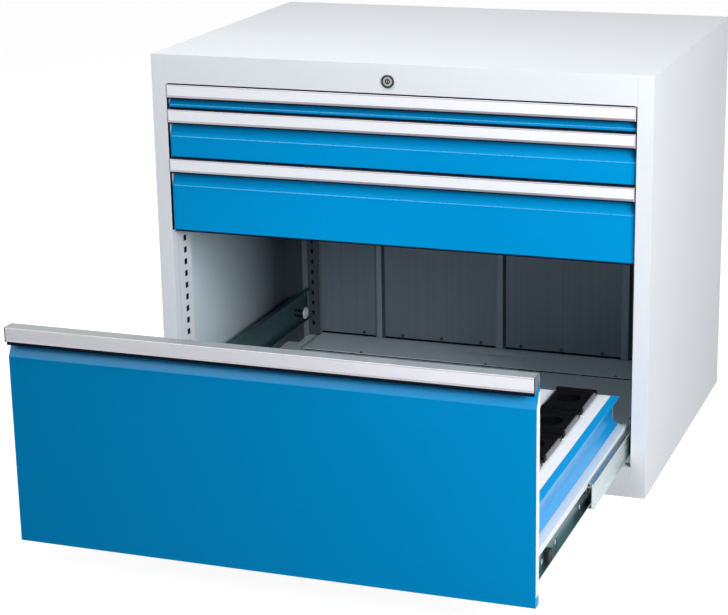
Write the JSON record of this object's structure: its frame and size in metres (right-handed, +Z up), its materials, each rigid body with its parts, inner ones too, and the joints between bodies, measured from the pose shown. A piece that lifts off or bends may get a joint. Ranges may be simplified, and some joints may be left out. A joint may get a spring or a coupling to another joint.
{
  "type": "drawer cabinet",
  "caption": "Sheet-steel drawer cabinet with full-width grip strips, a central lock and a tall tool pull-out that slides out on telescopic rails with sockets for tool holders.",
  "frame": {"origin": "centre of the carcass footprint on the ground", "axes": "+X to the right, +Y from the drawer fronts to the back, +Z up"},
  "size_m": [1.005, 1.418, 0.819],
  "materials": {
    "grey_paint": "fine powder coat",
    "blue_paint": "fine powder coat",
    "grip_aluminium": "satin anodised",
    "label_white": "matte",
    "cap_grey": "matte",
    "zinc_rail": "zinc plated",
    "roller_steel": "turned",
    "lock_chrome": "bright",
    "lock_zinc": "zinc plated",
    "insert_black": "moulded",
    "base_grey": "moulded",
    "buffer_black": "moulded"
  },
  "bodies": {
    "cabinet": {"left_side_panel": "grey_paint", "right_side_panel": "grey_paint", "top_panel": "grey_paint", "back_panel": "grey_paint", "base_panel": "grey_paint", "bottom_rail": "grey_paint", "rear_floor_cover": "grey_paint", "base_stiffener": "grey_paint", "front_uprights": "grey_paint", "rear_uprights": "grey_paint", "floor_screws": "roller_steel", "back_rivets": "roller_steel", "cabinet_rails": "zinc_rail", "support_rollers": "roller_steel", "rail_screws": "roller_steel", "stop_bolts": "roller_steel", "lock_housing": "lock_chrome"},
    "drawer_1": {"drawer_1_front": "blue_paint", "drawer_1_grip": "grip_aluminium", "drawer_1_label": "label_white", "drawer_1_end_caps": "cap_grey", "drawer_1_tray": "grey_paint", "drawer_1_rails": "zinc_rail"},
    "middle_1": {"drawer_1_middle_rails": "zinc_rail", "drawer_1_rollers": "roller_steel"},
    "drawer_2": {"drawer_2_front": "blue_paint", "drawer_2_grip": "grip_aluminium", "drawer_2_label": "label_white", "drawer_2_end_caps": "cap_grey", "drawer_2_tray": "grey_paint", "drawer_2_rails": "zinc_rail"},
    "middle_2": {"drawer_2_middle_rails": "zinc_rail", "drawer_2_rollers": "roller_steel"},
    "drawer_3": {"drawer_3_front": "blue_paint", "drawer_3_grip": "grip_aluminium", "drawer_3_label": "label_white", "drawer_3_end_caps": "cap_grey", "drawer_3_tray": "grey_paint", "drawer_3_rails": "zinc_rail"},
    "middle_3": {"drawer_3_middle_rails": "zinc_rail", "drawer_3_rollers": "roller_steel"},
    "tool_drawer": {"tool_front": "blue_paint", "tool_front_liner": "grey_paint", "tool_grip": "grip_aluminium", "tool_label": "label_white", "tool_end_caps": "cap_grey", "tool_side_rails": "blue_paint", "tool_ledges": "grey_paint", "tool_rear_rail": "grey_paint", "tool_carriers": "grey_paint", "tool_insert_clips": "base_grey", "tool_inserts": "insert_black", "tool_rails": "zinc_rail", "tool_buffers": "buffer_black"},
    "tool_middle": {"tool_middle_rails": "zinc_rail", "tool_rollers": "roller_steel"},
    "lock": {"lock_plug": "lock_chrome", "lock_cam": "lock_zinc"},
    "lock_link": {"lock_link": "lock_zinc"},
    "lock_bar": {"lock_bar": "lock_zinc"}
  },
  "joints": [
    {"name": "drawer_1_slide", "type": "slide", "parent": "cabinet", "child": "drawer_1", "axis": [0, -1, 0], "range_m": [0, 0.68]},
    {"name": "middle_1_slide", "type": "slide", "parent": "cabinet", "child": "middle_1", "axis": [0, -1, 0], "range_m": [0, 0.34]},
    {"name": "drawer_2_slide", "type": "slide", "parent": "cabinet", "child": "drawer_2", "axis": [0, -1, 0], "range_m": [0, 0.68]},
    {"name": "middle_2_slide", "type": "slide", "parent": "cabinet", "child": "middle_2", "axis": [0, -1, 0], "range_m": [0, 0.34]},
    {"name": "drawer_3_slide", "type": "slide", "parent": "cabinet", "child": "drawer_3", "axis": [0, -1, 0], "range_m": [0, 0.68]},
    {"name": "middle_3_slide", "type": "slide", "parent": "cabinet", "child": "middle_3", "axis": [0, -1, 0], "range_m": [0, 0.34]},
    {"name": "tool_drawer_slide", "type": "slide", "parent": "cabinet", "child": "tool_drawer", "axis": [0, -1, 0], "range_m": [-0.68, 0]},
    {"name": "tool_middle_slide", "type": "slide", "parent": "cabinet", "child": "tool_middle", "axis": [0, -1, 0], "range_m": [-0.34, 0]},
    {"name": "lock_turn", "type": "hinge", "parent": "cabinet", "child": "lock", "pos_m": [-0.008, -0.36, 0.786], "axis": [0, 1, 0], "range_deg": [0, 90]},
    {"name": "lock_link_slide", "type": "slide", "parent": "cabinet", "child": "lock_link", "axis": [-1, 0, 0], "range_m": [0, 0.00805]},
    {"name": "lock_bar_slide", "type": "slide", "parent": "cabinet", "child": "lock_bar", "axis": [0, 0, -1], "range_m": [0, 0.008]}
  ],
  "couplings": [
    {"joint": "middle_1_slide", "follows": "drawer_1_slide", "ratio": 0.5},
    {"joint": "middle_2_slide", "follows": "drawer_2_slide", "ratio": 0.5},
    {"joint": "middle_3_slide", "follows": "drawer_3_slide", "ratio": 0.5},
    {"joint": "tool_middle_slide", "follows": "tool_drawer_slide", "ratio": 0.5},
    {"joint": "lock_link_slide", "follows": "lock_bar_slide", "ratio": 1},
    {"joint": "lock_turn", "follows": "lock_bar_slide", "rad_per_m": 196.35}
  ]
}
